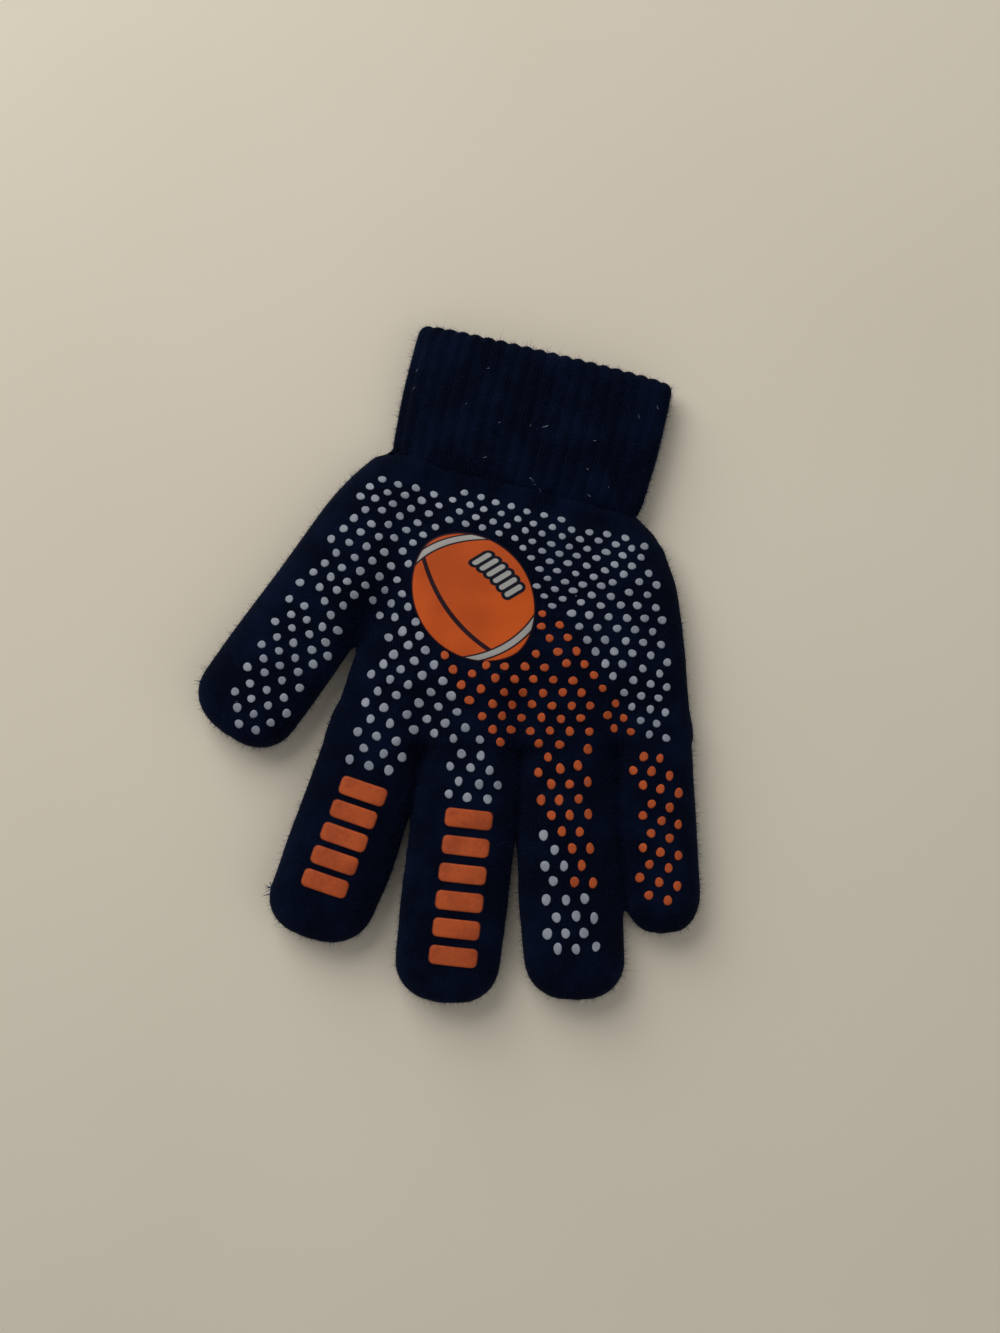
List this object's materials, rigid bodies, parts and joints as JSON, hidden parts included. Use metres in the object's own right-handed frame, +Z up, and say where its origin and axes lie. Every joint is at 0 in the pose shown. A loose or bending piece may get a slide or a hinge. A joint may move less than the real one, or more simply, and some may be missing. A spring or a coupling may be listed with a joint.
{
  "type": "knitted gripper glove",
  "caption": "Child's knitted stretch glove lying palm up, with a ribbed cuff, raised rubbery grip prints and open, hollow fingers.",
  "frame": {"origin": "on the table, under the middle of the glove's outline", "axes": "+Z up out of the palm; +Y from the fingertips to the cuff; +X from the thumb to the little finger"},
  "size_m": [0.1215, 0.1648, 0.0137],
  "materials": {
    "knit": "fuzzy knitted acrylic",
    "print_orange": "matt raised print",
    "print_pale": "matt raised print"
  },
  "bodies": {
    "root": {"cuff": "knit", "palm": "knit", "thumb": "knit", "index_finger": "knit", "middle_finger": "knit", "ring_finger": "knit", "little_finger": "knit", "ball_print": "print_orange", "index_bar_1": "print_orange", "index_bar_2": "print_orange", "index_bar_3": "print_orange", "index_bar_4": "print_orange", "index_bar_5": "print_orange", "middle_bar_1": "print_orange", "middle_bar_2": "print_orange", "middle_bar_3": "print_orange", "middle_bar_4": "print_orange", "middle_bar_5": "print_orange", "middle_bar_6": "print_orange"}
  },
  "joints": []
}
